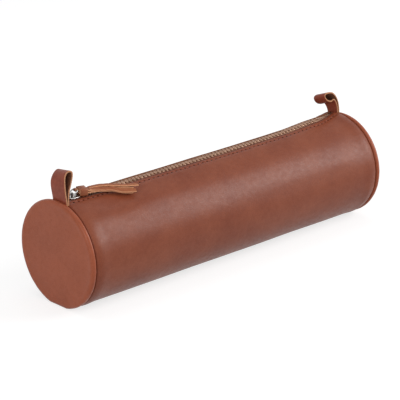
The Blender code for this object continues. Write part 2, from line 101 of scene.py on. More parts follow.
# Towards its open end the zip turns to the back, rises and closes up
ZIP_TURN = math.radians(2.6)
ZIP_TURN_X = 86 * MM
ZIP_TURN_POWER = 2.2
ZIP_END_TURN = math.radians(5)
ZIP_END_X = (82 * MM, HALF_LENGTH + 2 * MM)
ZIP_CLOSING = 0.6
ZIP_CLOSING_X = (84 * MM, 104 * MM)
ZIP_RISE = 1.1 * MM
ZIP_RISE_X = (46 * MM, 80 * MM)
LEATHER_RISE_X = (60 * MM, 84 * MM)
RISE_ANGLE = math.radians(15)

# Flat between the zip and the shoulder behind it
FLAT_BACK_START = math.radians(7)
FLAT_BACK_END = math.radians(52)
BACK_EDGE_DROP = 1.15 * MM

# Leather beside the end seams
SEAM_DIP = 1.7 * MM
SEAM_DIP_WIDTH = 0.5 * MM
SEAM_SLOPE = 0.35 * MM
SEAM_SLOPE_WIDTH = 2.2 * MM
SEAM_SWELL = 0.35 * MM
SEAM_SWELL_INSET = 5 * MM
SEAM_SWELL_WIDTH = 3.5 * MM
PUCKER = 0.16 * MM
PUCKER_REACH = 7 * MM

# Softness: slow waves, and dents as place along the case, angle in degrees, length, width in degrees, height
WAVE = 0.22 * MM
WAVE_LENGTH = 34 * MM
WAVE_END = 10 * MM
DENTS = (
    (-80, -27, 12, 11, -1.0),
    (-94, -38, 8, 14, 0.45),
    (-58, -38, 26, 11, 0.5),
    (40, -75, 38, 10, -0.35),
    (78, -62, 14, 8, 0.3),
    (-30, -100, 30, 14, -0.3),
    (95, -45, 9, 16, -0.35),
)

# Stitches along the zip
STITCH_INSET = 3.1 * MM
STITCH_GROOVE = 0.22 * MM
STITCH_GROOVE_WIDTH = 0.75 * MM
STITCH_END = 3 * MM
STITCH_PITCH = 3.3 * MM
STITCH_LENGTH = 2.5 * MM
STITCH_RADIUS = 0.24 * MM
STITCH_SINK = 0.12 * MM
STITCH_RISE = 0.2 * MM
STITCH_STATIONS = 6
HOLE_RADIUS = 0.5 * MM
HOLE_LENGTH = 0.65 * MM
HOLE_LEVELS = ((-0.15, 1.0), (0.02, 1.0), (0.05, 0.8), (0.055, 0.3))

# Steps of the leather's mesh, finer beside the seams
X_STATION = 1.25 * MM
ANGLE_STATION = math.radians(2.6)
SEAM_STATIONS = (0, 0.1, 0.25, 0.45, 0.7, 1.05)
FINE_START = 1.6 * MM
FINE_STEP = 0.55 * MM
FINE_LENGTH = 6 * MM

# Discs: the rolled edge, as distance from the rim's inner side and depth under the radius, and then as
# distance from the disc's face and depth
DISC_RIM = ((-0.1, 2.2), (0, 1.2), (0.15, 0.6), (0.4, 0.22), (0.8, 0.04), (1.3, 0))
DISC_FACE = ((1.2, 0.06), (0.75, 0.25), (0.4, 0.55), (0.15, 1.0), (0.02, 1.6), (0.0, 2.4), (0.1, 3.4))
DISC_INSET = 0.15 * MM
DISC_RINGS = (5 * MM, RADIUS - 1 * MM, 2.2 * MM)
DISC_SIDES = 144
DISC_UNEVEN = 0.18 * MM
DISC_UNEVEN_DEPTH = (1.5 * MM, 6 * MM)
DISC_PUCKER = 0.1 * MM
DISC_PUCKER_DEPTH = (9 * MM, 1 * MM)
DISC_FOLD_DEPTH = 1 * MM

# Zip: profiles across it, as distance from its middle line and height over the case's axis. A tooth's
# profile has its distance from the middle line, and shares of its width and height
TAPE = 0.55 * MM
TAPE_GAP = 0.12 * MM
TAPE_PROFILE = ((0.35, 28.2), (1.4, 28.25), (2.3, 28.3), (2.75, 28.2))
TAPE_RUN = 0.8
TAPE_UNDER = 0.3 * MM
TAPE_END_ANGLE = math.radians(25)
TAPE_STATION = 2 * MM
TAPE_ANGLE_STATION = math.radians(3)
TOOTH_PITCH = 2.6 * MM
TOOTH_WIDTH = 1.3 * MM
TOOTH_HEIGHTS = (27.75, 29.4)
TOOTH_PROFILE = (
    (2.35, 0.55, 0.5), (2.2, 0.9, 0.85), (1.5, 1.0, 1.0), (0.4, 0.8, 0.95), (-0.5, 0.95, 0.95),
    (-0.85, 0.55, 0.6),
)
STOP_DROP = 0.55 * MM

# Straps: their rounded long edges
EDGE_COLUMNS = (0.0, 0.12 * MM, 0.32 * MM)
EDGE_THICKNESS = (0.6, 0.93, 1.0)
STRAP_COLUMN = 1.3 * MM

# End loops, as places along the case and heights over its axis
LOOP_LEATHER = 0.85 * MM
LOOP_NEAR_Y = {"left": -5.9 * MM, "right": 2.1 * MM}
LOOP_FAR_Y = {"left": 4.7 * MM, "right": 9.7 * MM}
LOOP_BASE_SPREAD = {"left": 1.2 * MM, "right": 0.2 * MM}
LOOP_BASE = (36, 28)
LOOP_BASE_SINK = 0.5
LOOP_BEND = (29.6 * MM, 33.4 * MM)
LEFT_NEAR = (
    (-107.25, 28.3), (-107.2, 31.0), (-107.3, 35.0), (-107.6, 39.5), (-107.6, 43.2), (-106.9, 45.6),
    (-105.5, 46.6), (-103.8, 46.6), (-102.7, 45.7), (-102.5, 44.0), (-103.0, 41.5), (-103.8, 38.8),
    (-105.0, 35.3), (-105.8, 32.2), (-106.2, 30.0), (-106.25, 28.3),
)
LEFT_FAR = (
    (-107.1, 28.3), (-107.1, 30.6), (-107.7, 33.6), (-108.3, 37.4), (-108.1, 40.3), (-106.9, 42.8),
    (-105.1, 44.5), (-103.5, 44.9), (-102.4, 44.2), (-102.1, 42.6), (-102.6, 40.3), (-103.5, 37.8),
    (-104.9, 34.6), (-105.7, 31.9), (-106.0, 30.0), (-106.05, 28.3),
)
RIGHT_NEAR = (
    (107.5, 28.2), (107.6, 31.0), (107.3, 34.2), (106.4, 37.5), (104.4, 40.9), (101.9, 43.1),
    (99.0, 43.9), (96.7, 43.9), (95.5, 43.0), (96.0, 41.3), (97.7, 39.6), (99.5, 38.7),
    (101.2, 38.3), (102.6, 38.9), (103.9, 38.5), (105.2, 36.6), (106.2, 33.8), (106.5, 31.0), (106.5, 28.2),
)
RIGHT_SHIFT = (-1.3, -2.8)
RIGHT_SHIFT_HEIGHTS = (29, 39)
RIGHT_BASE_DROP = 1.6

# Slider and ring: plates as levels over their base and insets, the bridge as its arch's middle line
TOP_PLATE = ((-0.75, 0.3), (-0.65, 0.05), (-0.3, 0), (-0.1, 0.15), (0, 0.5), (0.03, 1.4))
BOTTOM_PLATE = ((0, 0.4), (0.1, 0.1), (0.5, 0), (0.75, 0.2))
NOSE_SHARE = 0.84
RAIL = ((-1.25, 0.08), (-1.15, 0), (-0.3, 0))
RAIL_INSET = 1.35 * MM
RAIL_END = 1 * MM
RAIL_HALF = 0.35 * MM
POST_X = (0.8 * MM, 3.8 * MM)
POST_HALF = (1.1 * MM, 0.9 * MM)
BRIDGE_HALF_LENGTH = 1.3 * MM
BRIDGE_HALF_WIDTH = 1.05 * MM
BRIDGE_METAL = 0.7 * MM
BRIDGE_ARCH = (
    (-1.0, -0.15), (-1.02, 0.6), (-0.96, 1.3), (-0.6, 1.8), (0.0, 1.95), (0.6, 1.8), (0.96, 1.3),
    (1.02, 0.6), (1.0, -0.15),
)
WIRE_RADIUS = 0.4 * MM
WIRE_GAP = 0.3 * MM
RING_CORNER = 0.9 * MM

# Tassel: the strip and its narrow tab at the ring, the band and the strands
STRIP = 0.8 * MM
STRIP_HALF = 2.5 * MM
TAB = 0.5 * MM
TAB_HALF = 0.95 * MM
TAB_X = (0.9 * MM, 2 * MM)
FOLD_RADIUS = 0.72 * MM
FOLD_CLOSED = 2.2 * MM
FOLD_STATIONS = (8.2, 6.6, 4.6, 3.0, 2.0, 1.0, 0.0)
LAYER_RISE = 0.55 * MM
TASSEL_HEADING = math.radians(-20)
HEADING_LENGTH = 2 * MM
BAND_DROP = 0.7 * MM
BAND_WALL = 0.6 * MM
BAND_SIDE_GAP = 0.3 * MM
BAND_CORNER = 0.45 * MM
BAND_EDGE = 0.15 * MM
BAND_RISE = (BAND_HIGH.z - BAND_LOW.z) / 2 + 0.2 * MM
BAND_MIDDLE = (BAND_HIGH.z + BAND_LOW.z) / 2 - BAND_DROP
BAND_START = 1.5 * MM
BAND_END = 5.8 * MM
STRAND_HALF = 1.15 * MM
# Along each strand: distance from the ring, sideways place and height over the case, and roll in degrees
STRANDS = (
    (
        (7.6, -1.25, 2.4, 3), (11.0, -0.9, 2.1, 20), (19.5, -0.6, 2.0, 33), (25.5, -2.0, 1.8, 33),
        (31.3, -2.2, 1.6, 30),
    ),
    (
        (7.6, 1.3, 2.15, 0), (14.2, 1.9, 2.3, 5), (20.5, 1.3, 2.2, 8), (27.0, 0.6, 2.2, 8),
        (32.5, 0.4, 2.2, 8),
    ),
    (
        (7.6, -1.25, 3.4, 5), (11.0, -1.2, 2.95, 22), (19.5, -1.1, 2.9, 35), (25.5, -2.6, 2.75, 35),
        (33.0, -2.8, 2.8, 33),
    ),
    (
        (7.6, 1.3, 3.2, 3), (14.2, 2.2, 3.35, 8), (20.5, 1.5, 3.3, 10), (27.6, 0.4, 3.4, 10),
        (35.4, 0.55, 3.4, 10),
    ),
)

# Colours of the finished surfaces, as sRGB shares
BODY_COLOUR = (0.53, 0.28, 0.187)
BODY_DARK = (0.475, 0.23, 0.145)
# Cut edge colour; on the main leather piece it is also painted shade along the zip edge and in the crease
# beside it
CUT_AND_SHADE_COLOUR = (0.30, 0.14, 0.085)
# The discs are the body's leather painted lighter: painted light for the brighter light on the ends
DISC_LIT_COLOUR = (0.63, 0.33, 0.22)
DISC_LIT_DARK = (0.585, 0.30, 0.195)
LOOP_COLOUR = (0.59, 0.30, 0.225)
LOOP_DARK = (0.50, 0.235, 0.165)
TASSEL_COLOUR = (0.64, 0.385, 0.25)
TASSEL_DARK = (0.55, 0.30, 0.18)
TASSEL_EDGE = (0.90, 0.67, 0.51)
TASSEL_EDGE_DARK = (0.78, 0.55, 0.41)
BAND_COLOUR = (0.60, 0.36, 0.25)
BAND_DARK = (0.51, 0.27, 0.16)
RAW_EDGE = (0.79, 0.58, 0.44)
RAW_EDGE_DARK = (0.63, 0.43, 0.31)
SUEDE = (0.50, 0.32, 0.23)
SUEDE_DARK = (0.38, 0.22, 0.15)
TAPE_COLOUR = (0.75, 0.57, 0.44)
TAPE_DARK = (0.60, 0.42, 0.31)
THREAD_COLOUR = (0.46, 0.23, 0.16)
# Painted shade: inside the needle holes, and the darker end of the painted shade along the main piece's zip
# edge
HOLE_SHADE = (0.22, 0.09, 0.06)
TEETH_COLOUR = (0.74, 0.585, 0.49)
NICKEL_COLOUR = (0.72, 0.71, 0.70)

# Light: each lamp's name, place in metres, size and power
POLISH = 0.22
WORLD_STRENGTH = 0.36
LAMPS = (
    ("key", (0.92, -0.74, 0.60), 0.86, 11.6),
    ("fill", (-1.0, -0.45, 0.45), 0.7, 5.0),
    ("top", (0.0, 0.25, 1.1), 0.8, 2.0),
)
WHITE = (1, 1, 1, 1)
BLACK = (0, 0, 0, 1)
FLOOR_HALF = 3
FLOOR_COLOUR = (0.68, 0.68, 0.68, 1)
FLOOR_SEEN = (0.4, 0.4, 0.4, 1)
FLOOR_GLOW = 0.72


def linear(colour):
    """An sRGB colour as linear red, green, blue and alpha."""
    return (*[c / 12.92 if c <= 0.04045 else ((c + 0.055) / 1.055) ** 2.4 for c in colour], 1)


def smoothstep(start, end, value):
    """0 before the start, 1 past the end and a smooth rise between."""
    share = min(max((value - start) / (end - start), 0), 1)
    return share * share * (3 - 2 * share)


def bell(value, middle, width):
    """1 at the middle, falling to nothing a few widths away."""
    return math.exp(-(((value - middle) / width) ** 2))


def add_item(name, data):
    """An object in the scene."""
    item = bpy.data.objects.new(name, data)
    bpy.context.scene.collection.objects.link(item)
    return item


def point_along(item, direction):
    """Turns a camera or a lamp to look in a direction."""
    item.rotation_mode = "QUATERNION"
    item.rotation_quaternion = direction.to_track_quat("-Z", "Y")


def add_camera():
    """The photograph's camera."""
    level = math.cos(CAMERA_ELEVATION)
    back = Vector(
        (math.sin(CAMERA_AZIMUTH) * level, -math.cos(CAMERA_AZIMUTH) * level, math.sin(CAMERA_ELEVATION))
    )
    data = bpy.data.cameras.new("camera")
    data.sensor_width = SENSOR_WIDTH
    data.lens = FOCAL_PIXELS / PICTURE * SENSOR_WIDTH
    data.shift_x = (PICTURE / 2 - CASE_MIDDLE_PIXEL[0]) / PICTURE
    data.shift_y = (CASE_MIDDLE_PIXEL[1] - PICTURE / 2) / PICTURE
    camera = add_item("camera", data)
    camera.location = Vector((0, 0, AXIS_HEIGHT)) + CAMERA_DISTANCE * back
    point_along(camera, -back)
    bpy.context.scene.camera = camera


class Shader:
    """A small helper that adds and links the nodes of one material or world."""

    def __init__(self, tree):
        self.tree = tree
        self.surface = tree.nodes.get("Principled BSDF")

    def put(self, socket, value):
        """Sets a socket, or links another one to it."""
        if isinstance(value, bpy.types.NodeSocket):
            self.tree.links.new(value, socket)
        else:
            socket.default_value = value

    def add(self, kind, **values):
        """A node with some of its sockets set or linked."""
        node = self.tree.nodes.new(kind)
        for name, value in values.items():
            self.put(node.inputs[name.replace("_", " ")], value)
        return node

    def points(self):
        """The unfolded surface's own coordinates, in millimetres."""
        scale = self.tree.nodes.new("ShaderNodeVectorMath")
        scale.operation = "SCALE"
        self.put(scale.inputs["Scale"], 1 / MM)
        self.put(scale.inputs[0], self.add("ShaderNodeTexCoord").outputs["UV"])
        return scale.outputs["Vector"]

    def noise(self, points, scale, detail=3.0, roughness=0.5):
        """Cloudy noise between 0 and 1; the scale is features per millimetre."""
        node = self.add("ShaderNodeTexNoise", Vector=points, Scale=scale, Detail=detail, Roughness=roughness)
        return node.outputs["Fac"]

    def ribs(self, points, scale, distortion, direction="DIAGONAL"):
        """Soft ribs between 0 and 1."""
        node = self.add("ShaderNodeTexWave", Vector=points, Scale=scale, Distortion=distortion)
        node.bands_direction = direction
        return node.outputs["Fac"]

    def stretch(self, value, low, high, to_low=0.0, to_high=1.0):
        """A value spread from one range to another, and held inside it."""
        ends = {"From Min": low, "From Max": high, "To Min": to_low, "To Max": to_high}
        return self.add("ShaderNodeMapRange", Value=value, **ends).outputs["Result"]

    def mix(self, share, first, second):
        """A colour between two others."""
        node = self.tree.nodes.new("ShaderNodeMix")
        node.data_type = "RGBA"
        for name, value in (("Factor", share), ("A", first), ("B", second)):
            self.put(node.inputs[name], value)
        return node.outputs["Result"]

    def math(self, operation, first, second=0.0):
        """One sum on two values."""
        node = self.tree.nodes.new("ShaderNodeMath")
        node.operation = operation
        for socket, value in zip(node.inputs, (first, second)):
            self.put(socket, value)
        return node.outputs["Value"]

    def blend(self, first, share, second):
        """A share of the first value, and the rest from the second."""
        return self.math("ADD", self.math("MULTIPLY", first, share), self.math("MULTIPLY", second, 1 - share))

    def finish(self, **values):
        """Sets or links some properties of the material's surface."""
        for name, value in values.items():
            self.put(self.surface.inputs[name.replace("_", " ")], value)

    def paint(self, share, dark, colour):
        """The surface's colour, between a dark and a light one."""
        self.finish(Base_Color=self.mix(share, linear(dark), linear(colour)))

    def bump(self, height, distance, strength):
        """Raises the surface by a height between 0 and 1."""
        node = self.add("ShaderNodeBump", Height=height, Distance=distance, Strength=strength)
        self.finish(Normal=node.outputs["Normal"])

    def show(self, kind, unseen, seen):
        """Ends in one shader where it is seen, also in gloss or through glass, and in one elsewhere."""
        path = self.add("ShaderNodeLightPath").outputs
        direct = self.math("MAXIMUM", path["Is Camera Ray"], path["Is Glossy Ray"])
        direct = self.math("MAXIMUM", direct, path["Is Transmission Ray"])
        mix = self.tree.nodes.new("ShaderNodeMixShader")
        for socket, value in zip(mix.inputs, (direct, unseen, seen)):
            self.put(socket, value)
        self.add(kind, Surface=mix.outputs[0])


def new_material(name, roughness, metallic=0.0):
    """An empty Principled material and its helper."""
    material = bpy.data.materials.new(name)
    material.use_nodes = True
    shader = Shader(material.node_tree)
    shader.finish(Roughness=roughness, Metallic=metallic)
    return material, shader


def leather_material(name, colour, dark, roughness=0.36, grain=0.5, tube=False):
    """Waxed leather: clouded colour, fine pebbled grain with creases, and a patchy satin.

    On the tube the wax is rubbed off underneath and thinner beside the zip.
    """
    material, shader = new_material(name, roughness)
    points = shader.points()
    mottle = shader.noise(points, 0.35, 3.0, 0.6)
    shade = shader.blend(shader.noise(points, 0.045, 4.0, 0.55), 0.7, mottle)
    cells = shader.add("ShaderNodeTexVoronoi", Vector=points, Scale=1.15)
    cells.feature = "DISTANCE_TO_EDGE"
    pebble = shader.stretch(cells.outputs["Distance"], 0.0, 0.16)
    base = shader.mix(shader.stretch(shade, 0.36, 0.62), linear(dark), linear(colour))
    shader.finish(
        Base_Color=shader.mix(shader.stretch(pebble, 0.0, 1.0, 0.86, 1.0), BLACK, base),
        Roughness=shader.stretch(mottle, 0.3, 0.7, roughness + 0.06, roughness - 0.06),
        Specular_IOR_Level=POLISH,
    )
    shader.bump(shader.blend(pebble, 0.6, shader.noise(points, 2.6, 2.0)), 0.06 * MM, grain)
    if tube:
        around = shader.add("ShaderNodeSeparateXYZ", Vector=points).outputs["Y"]
        from_bottom = shader.math("ABSOLUTE", shader.math("ADD", around, math.pi * RADIUS / MM))
        beside_zip = shader.stretch(shader.math("ABSOLUTE", around), 3, 18, 0.4 * POLISH, POLISH)
        rubbed = shader.stretch(from_bottom, 14, 42, 0.22, 1.0)
        shader.finish(Specular_IOR_Level=shader.math("MULTIPLY", rubbed, beside_zip))
    return material


def raw_material(name, colour, dark):
    """A cut leather edge or the rough flesh side: fibrous and dull."""
    material, shader = new_material(name, 0.85)
    fibres = shader.noise(shader.points(), 1.8, 5.0, 0.7)
    shader.paint(shader.stretch(fibres, 0.35, 0.65), dark, colour)
    shader.bump(fibres, 0.1 * MM, 0.6)
    shader.finish(Specular_IOR_Level=0.2)
    return material


def tape_material(name):
    """Woven tape: a herringbone of fine diagonal ribs."""
    material, shader = new_material(name, 0.8)
    points = shader.points()
    weave = shader.blend(shader.ribs(points, 0.55, 0.6), 0.5, shader.ribs(points, 1.4, 0.4, "Y"))
    shade = shader.blend(weave, 0.6, shader.noise(points, 3.0))
    shader.paint(shader.stretch(shade, 0.3, 0.7), TAPE_DARK, TAPE_COLOUR)
    shader.bump(weave, 0.12 * MM, 0.7)
    shader.finish(Sheen_Weight=0.2, Specular_IOR_Level=0.25)
    return material


def thread_material(name, colour):
    """Twisted sewing thread."""
    material, shader = new_material(name, 0.6)
    twist = shader.ribs(shader.points(), 1.6, 0.3)
    shader.paint(twist, colour, tuple(min(c * 1.25, 1) for c in colour))
    shader.bump(twist, 0.08 * MM, 0.6)
    return material


def metal_material(name, colour, roughness, wear):
    """Plated metal with fine scratches and a little dulling."""
    material, shader = new_material(name, roughness, 1.0)
    place_on_it = shader.add("ShaderNodeTexCoord").outputs["Object"]
    stretched = shader.add("ShaderNodeMapping", Vector=place_on_it, Scale=(250, 1500, 1500))
    scratches = shader.noise(stretched.outputs["Vector"], 1.0, 4.0, 0.7)
    shader.paint(shader.stretch(scratches, 0.35, 0.65), tuple(c * (1 - wear) for c in colour), colour)
    shader.finish(Roughness=shader.stretch(scratches, 0.3, 0.7, roughness + 0.12, roughness - 0.05))
    shader.bump(scratches, 0.02 * MM, 0.3)
    return material


def hole_material(name):
    """The shade inside a needle hole."""
    material, shader = new_material(name, 0.9)
    shader.paint(shader.noise(shader.points(), 3.0), tuple(c * 0.6 for c in HOLE_SHADE), HOLE_SHADE)
    shader.finish(Specular_IOR_Level=0.1)
    return material


def add_mesh(name, surface, materials, sharp=45):
    """An object from a bmesh, shaded smooth except at edges sharper than this many degrees."""
    bmesh.ops.recalc_face_normals(surface, faces=surface.faces)
    mesh = bpy.data.meshes.new(name)
    surface.to_mesh(mesh)
    surface.free()
    mesh.shade_smooth()
    mesh.set_sharp_from_angle(angle=math.radians(sharp))
    for material in materials:
        mesh.materials.append(material)
    return add_item(name, mesh)


def stand_for(node):
    """Hides the node that the piece stands for."""
    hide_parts(node)


def place(item, body, node):
    """Hangs the piece on the body that it rides on, and hides the node that it stands for."""
    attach(item, body)
    stand_for(node)


def new_surface():
    """An empty bmesh with its layer of surface coordinates."""
    surface = bmesh.new()
    surface.loops.layers.uv.new("UVMap")
    return surface


def add_face(surface, corners, slot=0):
    """One face from (vertex, coordinates) pairs."""
    layer = surface.loops.layers.uv.active
    face = surface.faces.new([vertex for vertex, _ in corners])
    face.material_index = slot
    for loop, (_, spot) in zip(face.loops, corners):
        loop[layer].uv = spot


def add_sheet(surface, upper, lower, spots, slots=(0, 1, 2), is_edge=lambda row, column: False):
    """A closed sheet between two grids of points. The slots are for its top, its edges and its bottom.

    Cells of the grid that are part of an edge, too, take the edges' slot on both sides.
    """
    rows = len(upper) - 1
    columns = len(upper[0]) - 1
    cells = {(row, column) for row in range(rows) for column in range(columns)}
    top = {}
    bottom = {}
    thickness = (Vector(upper[0][0]) - Vector(lower[0][0])).length
    for row, column in sorted(cells):
        corners = ((row, column), (row, column + 1), (row + 1, column + 1), (row + 1, column))
        neighbours = ((row - 1, column), (row, column + 1), (row + 1, column), (row, column - 1))
        for corner in corners:
            if corner not in top:
                across, along = corner
                top[corner] = (surface.verts.new(upper[across][along]), spots[across][along])
                bottom[corner] = (surface.verts.new(lower[across][along]), spots[across][along])
        edge = is_edge(row, column)
        add_face(surface, [top[corner] for corner in corners], slots[1 if edge else 0])
        add_face(surface, [bottom[corner] for corner in reversed(corners)], slots[1 if edge else 2])
        for start, end, neighbour in zip(corners, corners[1:] + corners[:1], neighbours):
            if neighbour in cells:
                continue
            moved = [
                (vertex, (spot[0] + down * thickness, spot[1] + down * thickness))
                for down, ends in ((0, (top[end], top[start])), (1, (bottom[start], bottom[end])))
                for vertex, spot in ends
            ]
            add_face(surface, moved, slots[1])


def add_loft(surface, rings, closed=False, slot=0, spots=None, ring_slots=None):
    """A solid through rings of points: the last ring meets the first, or both ends are capped.

    The ring slots, where given, are the slots of the faces from each ring to the next.
    """
    loops = [[surface.verts.new(point) for point in ring] for ring in rings]
    count = len(loops[0])
    around = [0.0]
    for index in range(count):
        around.append(around[-1] + (Vector(rings[0][index]) - Vector(rings[0][index - 1])).length)
    along = [0.0]
    for before, after in zip(rings, rings[1:] + rings[:1]):
        along.append(along[-1] + (Vector(after[0]) - Vector(before[0])).length)

    def corner(ring, index, place_along):
        spot = spots[ring][index % count] if spots else (place_along, around[index])
        return loops[ring][index % count], spot

    pairs = [(index, index + 1) for index in range(len(rings) - 1)]
    if closed:
        pairs.append((len(rings) - 1, 0))
    for near, far in pairs:
        start, end = along[near], along[near + 1]
        for index in range(count):
            corners = [corner(near, index, start), corner(near, index + 1, start)]
            corners += [corner(far, index + 1, end), corner(far, index, end)]
            add_face(surface, corners, ring_slots[near] if ring_slots else slot)
    if not closed:
        for ring in (0, len(rings) - 1):
            add_face(surface, [corner(ring, index, along[ring]) for index in range(count)], slot)


def circle(centre, arm, quarter_arm, count):
    """Points round a centre, given its arms to the first point and to the one a quarter turn on."""
    turns = [math.tau * index / count for index in range(count)]
    return [centre + math.cos(turn) * arm + math.sin(turn) * quarter_arm for turn in turns]


def steps(start, end, step):
    """Values from the start to the end, no more than a step apart."""
    count = max(math.ceil(abs(end - start) / step), 1)
    return [start + (end - start) * index / count for index in range(count + 1)]


def zip_angle(x):
    """How far the zip has turned to the back at this place along the case."""
    slow = ZIP_TURN * max(x / ZIP_TURN_X, 0) ** ZIP_TURN_POWER
    return slow + ZIP_END_TURN * smoothstep(*ZIP_END_X, x)


def edge_angle(x):
    """Half of the angle between the leather edges: they close up past the end of the teeth."""
    return EDGE_ANGLE * (1 - ZIP_CLOSING * smoothstep(*ZIP_CLOSING_X, x))


def zip_rise(x):
    """How much higher the zip stands towards its open end."""
    return ZIP_RISE * smoothstep(*ZIP_RISE_X, x)


def leather_rise(x, angle):
    """How far the leather beside the zip is lifted with it."""
    return ZIP_RISE * smoothstep(*LEATHER_RISE_X, x) * bell(angle, zip_angle(x), RISE_ANGLE)


def flat_back(x, angle, radius):
    """The back of the soft case is a little flat between the zip and the shoulder behind it."""
    start = FLAT_BACK_START + zip_angle(x)
    if not start < angle < FLAT_BACK_END:
        return radius
    ends = [
        Vector((length * math.sin(turn), length * math.cos(turn)))
        for length, turn in ((radius - BACK_EDGE_DROP, start), (radius, FLAT_BACK_END))
    ]
    along = ends[1] - ends[0]
    ray = Vector((math.sin(angle), math.cos(angle)))
    return (ends[0].x * along.y - ends[0].y * along.x) / (ray.x * along.y - ray.y * along.x)


def seam_shape(x, angle):
    """How far the leather stands off its plain radius beside the end seams."""
    inset = SEAM_X - abs(x)
    beside = max(inset, 0)
    dip = SEAM_DIP * bell(beside, 0, SEAM_DIP_WIDTH) + SEAM_SLOPE * bell(beside, 0, SEAM_SLOPE_WIDTH)
    swell = SEAM_SWELL * bell(inset, SEAM_SWELL_INSET, SEAM_SWELL_WIDTH)
    wrinkles = noise.noise(Vector((math.copysign(3, x), 9 * math.sin(angle), 9 * math.cos(angle))))
    return swell + PUCKER * wrinkles * math.exp(-beside / PUCKER_REACH) - dip


def soft_shape(x, angle):
    """Slow waves and dents that soft leather has."""
    point = Vector((x, RADIUS * math.sin(angle), RADIUS * math.cos(angle))) / WAVE_LENGTH
    shape = WAVE * noise.noise(point)
    for middle, turn, length, width, height in DENTS:
        shape += height * MM * bell(x / MM, middle, length) * bell(math.degrees(angle), turn, width)
    return shape


def edge_distance(x, angle, away):
    """How far round the case this place is from the front (-1) or back (1) leather edge."""
    return (away * (angle - zip_angle(x)) - edge_angle(x)) * RADIUS


def outer_radius(x, angle):
    """Distance from the case's axis to the outside of the leather. The angle runs from -360 to 70 degrees."""
    turned = angle + math.tau if angle < -math.pi else angle
    radius = flat_back(x, turned, RADIUS)
    radius += seam_shape(x, turned) + leather_rise(x, turned)
    radius += soft_shape(x, turned) * smoothstep(0, WAVE_END, SEAM_X - abs(x))
    for away in (-1, 1):
        distance = edge_distance(x, turned, away)
        radius -= STITCH_GROOVE * bell(distance, STITCH_INSET, STITCH_GROOVE_WIDTH)
        radius -= EDGE_DROOP * bell(max(distance, 0), 0, EDGE_DROOP_WIDTH)
        radius -= CREASE_DEPTH * bell(distance, CREASE_INSET, CREASE_WIDTH)
    if math.cos(turned) < 0:
        radius = min(radius, AXIS_HEIGHT / -math.cos(turned))
    return radius


def case_point(x, angle, depth=0.0):
    """A point this deep under the leather's outside."""
    radius = outer_radius(x, angle) - depth
    return Vector((x, radius * math.sin(angle), AXIS_HEIGHT + radius * math.cos(angle)))


def leather_depth(x, angle, away):
    """The leather is pared thin towards the zip."""
    pared = smoothstep(0, EDGE_PARING, edge_distance(x, angle, away))
    return EDGE_LEATHER + (LEATHER - EDGE_LEATHER) * pared


def shell(name, xs, away, last_angle, materials):
    """Leather over a range of x, from the front or the back edge of the zip round to an angle."""
    count = math.ceil(abs(last_angle) / ANGLE_STATION)
    insets = [inset * MM / RADIUS for inset in EDGE_ROWS]
    upper, lower, spots = [], [], []
    for row in range(len(insets) + count):
        angles = []
        for x in xs:
            start = zip_angle(x) + away * (edge_angle(x) + insets[min(row, len(insets) - 1)])
            share = max(row - len(insets) + 1, 0) / count
            angles.append(start + (last_angle - start) * share)
        upper.append([case_point(x, angle) for x, angle in zip(xs, angles)])
        lower.append([case_point(x, angle, leather_depth(x, angle, away)) for x, angle in zip(xs, angles)])
        spots.append([(x, angle * RADIUS) for x, angle in zip(xs, angles)])
    surface = new_surface()
    # The edge row and the crease row take the edge's material; on the main piece that is dark, painted shade
    add_sheet(surface, upper, lower, spots, is_edge=lambda row, column: row in (0, 2))
    return add_mesh(name, surface, materials, 60)


def x_stations(left, right):
    """Places along the case, closer together beside the seams."""
    inner_left = max(left, FINE_LENGTH - SEAM_X)
    inner_right = min(right, SEAM_X - FINE_LENGTH)
    xs = []
    if left < inner_left:
        xs += [left + inset * MM for inset in SEAM_STATIONS]
        xs += steps(left + FINE_START, inner_left, FINE_STEP)[:-1]
    xs += steps(inner_left, inner_right, X_STATION)
    if right > inner_right:
        xs += steps(inner_right, right - FINE_START, FINE_STEP)[1:]
        xs += [right - inset * MM for inset in reversed(SEAM_STATIONS)]
    return xs


def open_with_lip(item):
    """Bakes the place of half of the back lip, or of what is sewn to it, into its mesh."""
    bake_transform(item)


def follow_zip(item, name):
    """The front half of the zip rides on the case, and the halves of the back one are baked in place."""
    if name == "front":
        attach(item, "case")
    else:
        open_with_lip(item)


def zip_rows(left, right):
    """The front row along the zip and the two halves of the back one: name, side, start and end."""
    front = ("front", -1, left, right)
    return front, ("back_left", 1, left, MOUTH_MIDDLE), ("back_right", 1, MOUTH_MIDDLE, right)


def make_case_leather():
    """The leather tube: the front, bottom and back in one piece, and the two halves of the back lip."""
    leather = leather_material("case_leather", BODY_COLOUR, BODY_DARK, tube=True)
    # Painted shade along the zip edge and in the crease beside it, over the cut edge's own darker colour
    edge = raw_material("case_edge_painted_shade", CUT_AND_SHADE_COLOUR, HOLE_SHADE)
    suede = raw_material("case_suede", SUEDE, SUEDE_DARK)
    lip_edge = raw_material("lip_edge", RAW_EDGE_DARK, CUT_AND_SHADE_COLOUR)
    xs = x_stations(-SEAM_X, SEAM_X)
    main = shell("case_leather_main", xs, -1, HINGE_ANGLE - math.tau, (leather, edge, suede))
    place(main, "case", "body_panel")
    for side, half, left, right in ((-1, "left", -SEAM_X, MOUTH_MIDDLE), (1, "right", MOUTH_MIDDLE, SEAM_X)):
        xs = x_stations(left, right)
        lip = shell(f"case_leather_lip_{half}", xs, 1, HINGE_ANGLE, (leather, lip_edge, suede))
        open_with_lip(lip)
        stand_for("back_lip_panel")


